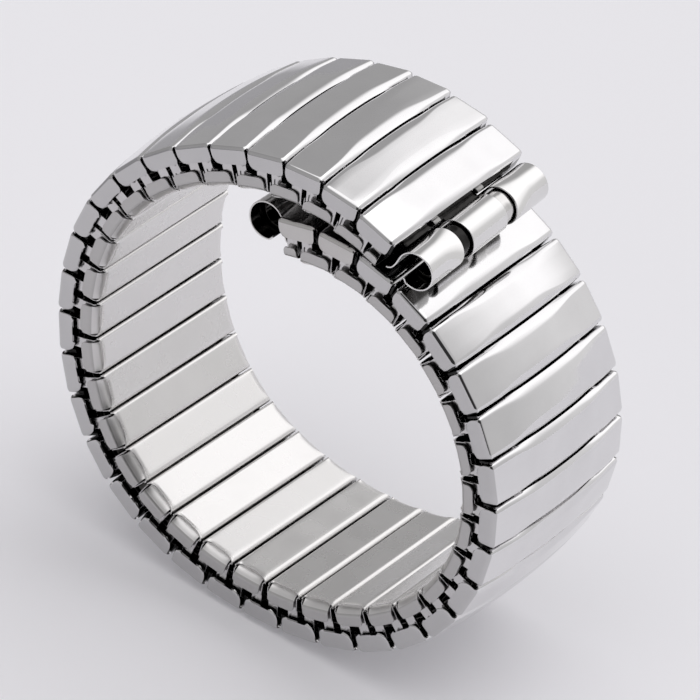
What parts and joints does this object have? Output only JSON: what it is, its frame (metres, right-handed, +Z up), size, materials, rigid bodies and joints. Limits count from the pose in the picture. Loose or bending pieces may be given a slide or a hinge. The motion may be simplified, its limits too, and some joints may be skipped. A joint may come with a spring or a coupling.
{
  "type": "stretch watch band",
  "caption": "Curled stretch watch band of sprung overlapping steel links, with rolled end tubes that slide to set the width between the watch's lugs.",
  "frame": {"origin": "middle of the bottom of the curled band, on the surface that it stands on", "axes": "+Z up, +Y along the axis of the curl, away from the rim that the picture shows nearest; +X to the right seen from that rim"},
  "size_m": [0.0478, 0.0212, 0.0481],
  "materials": {
    "outer_link_steel": "mirror polished stainless steel",
    "inner_link_steel": "satin polished stainless steel",
    "end_steel": "mirror polished stainless steel",
    "liner_steel": "rolled stainless steel"
  },
  "bodies": {
    "link_01": {"link_01": "outer_link_steel", "outer_end_connector": "end_steel", "outer_end_liner": "liner_steel"},
    "link_02": {"link_02": "outer_link_steel"},
    "inner_link_02": {"inner_link_02": "inner_link_steel"},
    "link_03": {"link_03": "outer_link_steel"},
    "link_04": {"link_04": "outer_link_steel"},
    "inner_link_04": {"inner_link_04": "inner_link_steel"},
    "link_05": {"link_05": "outer_link_steel"},
    "link_06": {"link_06": "outer_link_steel"},
    "inner_link_06": {"inner_link_06": "inner_link_steel"},
    "link_07": {"link_07": "outer_link_steel"},
    "link_08": {"link_08": "outer_link_steel"},
    "link_09": {"link_09": "outer_link_steel"},
    "inner_link_09": {"inner_link_09": "inner_link_steel"},
    "link_10": {"link_10": "outer_link_steel"},
    "link_11": {"link_11": "outer_link_steel"},
    "inner_link_11": {"inner_link_11": "inner_link_steel"},
    "link_12": {"link_12": "outer_link_steel"},
    "link_13": {"link_13": "outer_link_steel"},
    "link_14": {"link_14": "outer_link_steel"},
    "inner_link_14": {"inner_link_14": "inner_link_steel"},
    "link_15": {"link_15": "outer_link_steel"},
    "link_16": {"link_16": "outer_link_steel"},
    "inner_link_16": {"inner_link_16": "inner_link_steel"},
    "link_17": {"link_17": "outer_link_steel"},
    "link_18": {"link_18": "outer_link_steel"},
    "inner_link_18": {"inner_link_18": "inner_link_steel"},
    "link_19": {"link_19": "outer_link_steel"},
    "link_20": {"link_20": "outer_link_steel"},
    "link_21": {"link_21": "outer_link_steel"},
    "inner_link_21": {"inner_link_21": "inner_link_steel"},
    "link_22": {"link_22": "outer_link_steel"},
    "link_23": {"link_23": "outer_link_steel"},
    "inner_link_23": {"inner_link_23": "inner_link_steel"},
    "link_24": {"link_24": "outer_link_steel"},
    "link_25": {"link_25": "outer_link_steel"},
    "link_26": {"link_26": "outer_link_steel"},
    "inner_link_26": {"inner_link_26": "inner_link_steel"},
    "link_27": {"link_27": "outer_link_steel"},
    "link_28": {"link_28": "outer_link_steel"},
    "inner_link_28": {"inner_link_28": "inner_link_steel"},
    "link_29": {"link_29": "outer_link_steel"},
    "link_30": {"link_30": "outer_link_steel"},
    "inner_link_30": {"inner_link_30": "inner_link_steel"},
    "link_31": {"link_31": "outer_link_steel"},
    "link_32": {"link_32": "outer_link_steel"},
    "link_33": {"link_33": "outer_link_steel"},
    "inner_link_33": {"inner_link_33": "inner_link_steel"},
    "link_34": {"link_34": "outer_link_steel"},
    "link_35": {"link_35": "outer_link_steel"},
    "inner_link_35": {"inner_link_35": "inner_link_steel"},
    "link_36": {"link_36": "outer_link_steel"},
    "link_37": {"link_37": "outer_link_steel", "inner_end_connector": "end_steel", "inner_end_liner": "liner_steel"},
    "outer_end_tube_near": {"outer_end_tube_near": "end_steel"},
    "outer_end_tube_far": {"outer_end_tube_far": "end_steel"},
    "inner_end_tube_near": {"inner_end_tube_near": "end_steel"},
    "inner_end_tube_far": {"inner_end_tube_far": "end_steel"}
  },
  "joints": [
    {"name": "flex_21", "type": "hinge", "parent": "link_21", "child": "inner_link_21", "pos_m": [0.00403, 0.00101, 0.00258], "axis": [0, 1, 0], "range_deg": [0, 8.25], "stiffness_Nm_per_rad": 0.4},
    {"name": "stretch_21", "type": "slide", "parent": "inner_link_21", "child": "link_22", "axis": [0.9913, 0, 0.1318], "range_m": [0, 0.0008], "stiffness_N_per_m": 3000},
    {"name": "stretch_22", "type": "slide", "parent": "link_22", "child": "link_23", "axis": [0.9588, 0, 0.284], "range_m": [0, 0.0008], "stiffness_N_per_m": 3000},
    {"name": "flex_23", "type": "hinge", "parent": "link_23", "child": "inner_link_23", "pos_m": [0.01148, 0.00089, 0.00479], "axis": [0, 1, 0], "range_deg": [0, 10.96], "stiffness_Nm_per_rad": 0.4},
    {"name": "stretch_23", "type": "slide", "parent": "inner_link_23", "child": "link_24", "axis": [0.8928, 0, 0.4505], "range_m": [0, 0.0008], "stiffness_N_per_m": 3000},
    {"name": "stretch_24", "type": "slide", "parent": "link_24", "child": "link_25", "axis": [0.7837, 0, 0.6211], "range_m": [0, 0.0008], "stiffness_N_per_m": 3000},
    {"name": "stretch_25", "type": "slide", "parent": "link_25", "child": "link_26", "axis": [0.6327, 0, 0.7744], "range_m": [0, 0.0008], "stiffness_N_per_m": 3000},
    {"name": "flex_26", "type": "hinge", "parent": "link_26", "child": "inner_link_26", "pos_m": [0.01968, 0.00072, 0.01287], "axis": [0, 1, 0], "range_deg": [0, 12.51], "stiffness_Nm_per_rad": 0.4},
    {"name": "stretch_26", "type": "slide", "parent": "inner_link_26", "child": "link_27", "axis": [0.4509, 0, 0.8926], "range_m": [0, 0.0008], "stiffness_N_per_m": 3000},
    {"name": "stretch_27", "type": "slide", "parent": "link_27", "child": "link_28", "axis": [0.2462, 0, 0.9692], "range_m": [0, 0.0008], "stiffness_N_per_m": 3000},
    {"name": "flex_28", "type": "hinge", "parent": "link_28", "child": "inner_link_28", "pos_m": [0.02159, 0.00064, 0.02039], "axis": [0, 1, 0], "range_deg": [0, 12.71], "stiffness_Nm_per_rad": 0.4},
    {"name": "stretch_28", "type": "slide", "parent": "inner_link_28", "child": "link_29", "axis": [0.0279, 0, 0.9996], "range_m": [0, 0.0008], "stiffness_N_per_m": 3000},
    {"name": "stretch_29", "type": "slide", "parent": "link_29", "child": "link_30", "axis": [-0.1895, 0, 0.9819], "range_m": [0, 0.0008], "stiffness_N_per_m": 3000},
    {"name": "flex_30", "type": "hinge", "parent": "link_30", "child": "inner_link_30", "pos_m": [0.02012, 0.00061, 0.028], "axis": [0, 1, 0], "range_deg": [0, 12.01], "stiffness_Nm_per_rad": 0.4},
    {"name": "stretch_30", "type": "slide", "parent": "inner_link_30", "child": "link_31", "axis": [-0.3923, 0, 0.9198], "range_m": [0, 0.0008], "stiffness_N_per_m": 3000},
    {"name": "stretch_31", "type": "slide", "parent": "link_31", "child": "link_32", "axis": [-0.5725, 0, 0.8199], "range_m": [0, 0.0008], "stiffness_N_per_m": 3000},
    {"name": "stretch_32", "type": "slide", "parent": "link_32", "child": "link_33", "axis": [-0.7242, 0, 0.6896], "range_m": [0, 0.0008], "stiffness_N_per_m": 3000},
    {"name": "flex_33", "type": "hinge", "parent": "link_33", "child": "inner_link_33", "pos_m": [0.0126, 0.00069, 0.03676], "axis": [0, 1, 0], "range_deg": [0, 11.86], "stiffness_Nm_per_rad": 0.4},
    {"name": "stretch_33", "type": "slide", "parent": "inner_link_33", "child": "link_34", "axis": [-0.8478, 0, 0.5303], "range_m": [0, 0.0008], "stiffness_N_per_m": 3000},
    {"name": "stretch_34", "type": "slide", "parent": "link_34", "child": "link_35", "axis": [-0.9403, 0, 0.3404], "range_m": [0, 0.0008], "stiffness_N_per_m": 3000},
    {"name": "flex_35", "type": "hinge", "parent": "link_35", "child": "inner_link_35", "pos_m": [0.00531, 0.00084, 0.0394], "axis": [0, 1, 0], "range_deg": [0, 12.96], "stiffness_Nm_per_rad": 0.4},
    {"name": "stretch_35", "type": "slide", "parent": "inner_link_35", "child": "link_36", "axis": [-0.9921, 0, 0.1258], "range_m": [0, 0.0008], "stiffness_N_per_m": 3000},
    {"name": "stretch_36", "type": "slide", "parent": "link_36", "child": "link_37", "axis": [-0.9945, 0, -0.1045], "range_m": [0, 0.0008], "stiffness_N_per_m": 3000},
    {"name": "stretch_20", "type": "slide", "parent": "link_21", "child": "link_20", "axis": [-1, 0, 0], "range_m": [0, 0.0008], "stiffness_N_per_m": 3000},
    {"name": "stretch_19", "type": "slide", "parent": "link_20", "child": "link_19", "axis": [-0.9911, 0, 0.1333], "range_m": [0, 0.0008], "stiffness_N_per_m": 3000},
    {"name": "flex_18", "type": "hinge", "parent": "link_19", "child": "inner_link_18", "pos_m": [-0.00758, 0.00116, 0.00338], "axis": [0, -1, 0], "range_deg": [0, 9.96], "stiffness_Nm_per_rad": 0.4},
    {"name": "stretch_18", "type": "slide", "parent": "inner_link_18", "child": "link_18", "axis": [-0.9571, 0, 0.2899], "range_m": [0, 0.0008], "stiffness_N_per_m": 3000},
    {"name": "stretch_17", "type": "slide", "parent": "link_18", "child": "link_17", "axis": [-0.8865, 0, 0.4627], "range_m": [0, 0.0008], "stiffness_N_per_m": 3000},
    {"name": "flex_16", "type": "hinge", "parent": "link_17", "child": "inner_link_16", "pos_m": [-0.01446, 0.00123, 0.00697], "axis": [0, -1, 0], "range_deg": [0, 13.01], "stiffness_Nm_per_rad": 0.4},
    {"name": "stretch_16", "type": "slide", "parent": "inner_link_16", "child": "link_16", "axis": [-0.7683, 0, 0.6401], "range_m": [0, 0.0008], "stiffness_N_per_m": 3000},
    {"name": "stretch_15", "type": "slide", "parent": "link_16", "child": "link_15", "axis": [-0.6122, 0, 0.7907], "range_m": [0, 0.0008], "stiffness_N_per_m": 3000},
    {"name": "flex_14", "type": "hinge", "parent": "link_15", "child": "inner_link_14", "pos_m": [-0.0192, 0.00124, 0.01311], "axis": [0, -1, 0], "range_deg": [0, 10.81], "stiffness_Nm_per_rad": 0.4},
    {"name": "stretch_14", "type": "slide", "parent": "inner_link_14", "child": "link_14", "axis": [-0.4446, 0, 0.8957], "range_m": [0, 0.0008], "stiffness_N_per_m": 3000},
    {"name": "stretch_13", "type": "slide", "parent": "link_14", "child": "link_13", "axis": [-0.2782, 0, 0.9605], "range_m": [0, 0.0008], "stiffness_N_per_m": 3000},
    {"name": "stretch_12", "type": "slide", "parent": "link_13", "child": "link_12", "axis": [-0.1219, 0, 0.9925], "range_m": [0, 0.0008], "stiffness_N_per_m": 3000},
    {"name": "flex_11", "type": "hinge", "parent": "link_12", "child": "inner_link_11", "pos_m": [-0.02155, 0.00113, 0.02447], "axis": [0, -1, 0], "range_deg": [0, 9.54], "stiffness_Nm_per_rad": 0.4},
    {"name": "stretch_11", "type": "slide", "parent": "inner_link_11", "child": "link_11", "axis": [0.0361, 0, 0.9993], "range_m": [0, 0.0008], "stiffness_N_per_m": 3000},
    {"name": "stretch_10", "type": "slide", "parent": "link_11", "child": "link_10", "axis": [0.209, 0, 0.9779], "range_m": [0, 0.0008], "stiffness_N_per_m": 3000},
    {"name": "flex_09", "type": "hinge", "parent": "link_10", "child": "inner_link_09", "pos_m": [-0.01993, 0.00094, 0.03206], "axis": [0, -1, 0], "range_deg": [0, 11.41], "stiffness_Nm_per_rad": 0.4},
    {"name": "stretch_09", "type": "slide", "parent": "inner_link_09", "child": "link_09", "axis": [0.3907, 0, 0.9205], "range_m": [0, 0.0008], "stiffness_N_per_m": 3000},
    {"name": "stretch_08", "type": "slide", "parent": "link_09", "child": "link_08", "axis": [0.5599, 0, 0.8285], "range_m": [0, 0.0008], "stiffness_N_per_m": 3000},
    {"name": "stretch_07", "type": "slide", "parent": "link_08", "child": "link_07", "axis": [0.6997, 0, 0.7145], "range_m": [0, 0.0008], "stiffness_N_per_m": 3000},
    {"name": "flex_06", "type": "hinge", "parent": "link_07", "child": "inner_link_06", "pos_m": [-0.01262, 0.00045, 0.04104], "axis": [0, -1, 0], "range_deg": [0, 9.31], "stiffness_Nm_per_rad": 0.4},
    {"name": "stretch_06", "type": "slide", "parent": "inner_link_06", "child": "link_06", "axis": [0.8095, 0, 0.5871], "range_m": [0, 0.0008], "stiffness_N_per_m": 3000},
    {"name": "stretch_05", "type": "slide", "parent": "link_06", "child": "link_05", "axis": [0.891, 0, 0.454], "range_m": [0, 0.0008], "stiffness_N_per_m": 3000},
    {"name": "flex_04", "type": "hinge", "parent": "link_05", "child": "inner_link_04", "pos_m": [-0.00569, -0.00003, 0.04457], "axis": [0, -1, 0], "range_deg": [0, 9.29], "stiffness_Nm_per_rad": 0.4},
    {"name": "stretch_04", "type": "slide", "parent": "inner_link_04", "child": "link_04", "axis": [0.9507, 0, 0.3101], "range_m": [0, 0.0008], "stiffness_N_per_m": 3000},
    {"name": "stretch_03", "type": "slide", "parent": "link_04", "child": "link_03", "axis": [0.9891, 0, 0.1469], "range_m": [0, 0.0008], "stiffness_N_per_m": 3000},
    {"name": "flex_02", "type": "hinge", "parent": "link_03", "child": "inner_link_02", "pos_m": [0.002, -0.00067, 0.04571], "axis": [0, -1, 0], "range_deg": [0, 10.63], "stiffness_Nm_per_rad": 0.4},
    {"name": "stretch_02", "type": "slide", "parent": "inner_link_02", "child": "link_02", "axis": [0.9995, 0, -0.0321], "range_m": [0, 0.0008], "stiffness_N_per_m": 3000},
    {"name": "stretch_01", "type": "slide", "parent": "link_02", "child": "link_01", "axis": [0.9751, 0, -0.2215], "range_m": [0, 0.0008], "stiffness_N_per_m": 3000},
    {"name": "outer_end_tube_near_slide", "type": "slide", "parent": "link_01", "child": "outer_end_tube_near", "axis": [0, -1, 0], "range_m": [-0.0013, 0.002]},
    {"name": "outer_end_tube_far_slide", "type": "slide", "parent": "link_01", "child": "outer_end_tube_far", "axis": [0, 1, 0], "range_m": [-0.0013, 0.002]},
    {"name": "inner_end_tube_near_slide", "type": "slide", "parent": "link_37", "child": "inner_end_tube_near", "axis": [0, -1, 0], "range_m": [-0.0013, 0.002]},
    {"name": "inner_end_tube_far_slide", "type": "slide", "parent": "link_37", "child": "inner_end_tube_far", "axis": [0, 1, 0], "range_m": [-0.0013, 0.002]}
  ],
  "couplings": [
    {"joint": "stretch_21", "follows": "stretch_20", "ratio": 1},
    {"joint": "stretch_22", "follows": "stretch_20", "ratio": 1},
    {"joint": "flex_23", "follows": "flex_21", "ratio": 1.3273},
    {"joint": "stretch_23", "follows": "stretch_20", "ratio": 1},
    {"joint": "stretch_24", "follows": "stretch_20", "ratio": 1},
    {"joint": "stretch_25", "follows": "stretch_20", "ratio": 1},
    {"joint": "flex_26", "follows": "flex_21", "ratio": 1.5152},
    {"joint": "stretch_26", "follows": "stretch_20", "ratio": 1},
    {"joint": "stretch_27", "follows": "stretch_20", "ratio": 1},
    {"joint": "flex_28", "follows": "flex_21", "ratio": 1.5394},
    {"joint": "stretch_28", "follows": "stretch_20", "ratio": 1},
    {"joint": "stretch_29", "follows": "stretch_20", "ratio": 1},
    {"joint": "flex_30", "follows": "flex_21", "ratio": 1.4545},
    {"joint": "stretch_30", "follows": "stretch_20", "ratio": 1},
    {"joint": "stretch_31", "follows": "stretch_20", "ratio": 1},
    {"joint": "stretch_32", "follows": "stretch_20", "ratio": 1},
    {"joint": "flex_33", "follows": "flex_21", "ratio": 1.4364},
    {"joint": "stretch_33", "follows": "stretch_20", "ratio": 1},
    {"joint": "stretch_34", "follows": "stretch_20", "ratio": 1},
    {"joint": "flex_35", "follows": "flex_21", "ratio": 1.5697},
    {"joint": "stretch_35", "follows": "stretch_20", "ratio": 1},
    {"joint": "stretch_36", "follows": "stretch_20", "ratio": 1},
    {"joint": "stretch_19", "follows": "stretch_20", "ratio": 1},
    {"joint": "flex_18", "follows": "flex_21", "ratio": 1.2061},
    {"joint": "stretch_18", "follows": "stretch_20", "ratio": 1},
    {"joint": "stretch_17", "follows": "stretch_20", "ratio": 1},
    {"joint": "flex_16", "follows": "flex_21", "ratio": 1.5758},
    {"joint": "stretch_16", "follows": "stretch_20", "ratio": 1},
    {"joint": "stretch_15", "follows": "stretch_20", "ratio": 1},
    {"joint": "flex_14", "follows": "flex_21", "ratio": 1.3091},
    {"joint": "stretch_14", "follows": "stretch_20", "ratio": 1},
    {"joint": "stretch_13", "follows": "stretch_20", "ratio": 1},
    {"joint": "stretch_12", "follows": "stretch_20", "ratio": 1},
    {"joint": "flex_11", "follows": "flex_21", "ratio": 1.1556},
    {"joint": "stretch_11", "follows": "stretch_20", "ratio": 1},
    {"joint": "stretch_10", "follows": "stretch_20", "ratio": 1},
    {"joint": "flex_09", "follows": "flex_21", "ratio": 1.3818},
    {"joint": "stretch_09", "follows": "stretch_20", "ratio": 1},
    {"joint": "stretch_08", "follows": "stretch_20", "ratio": 1},
    {"joint": "stretch_07", "follows": "stretch_20", "ratio": 1},
    {"joint": "flex_06", "follows": "flex_21", "ratio": 1.1273},
    {"joint": "stretch_06", "follows": "stretch_20", "ratio": 1},
    {"joint": "stretch_05", "follows": "stretch_20", "ratio": 1},
    {"joint": "flex_04", "follows": "flex_21", "ratio": 1.1242},
    {"joint": "stretch_04", "follows": "stretch_20", "ratio": 1},
    {"joint": "stretch_03", "follows": "stretch_20", "ratio": 1},
    {"joint": "flex_02", "follows": "flex_21", "ratio": 1.2879},
    {"joint": "stretch_02", "follows": "stretch_20", "ratio": 1},
    {"joint": "stretch_01", "follows": "stretch_20", "ratio": 1}
  ]
}
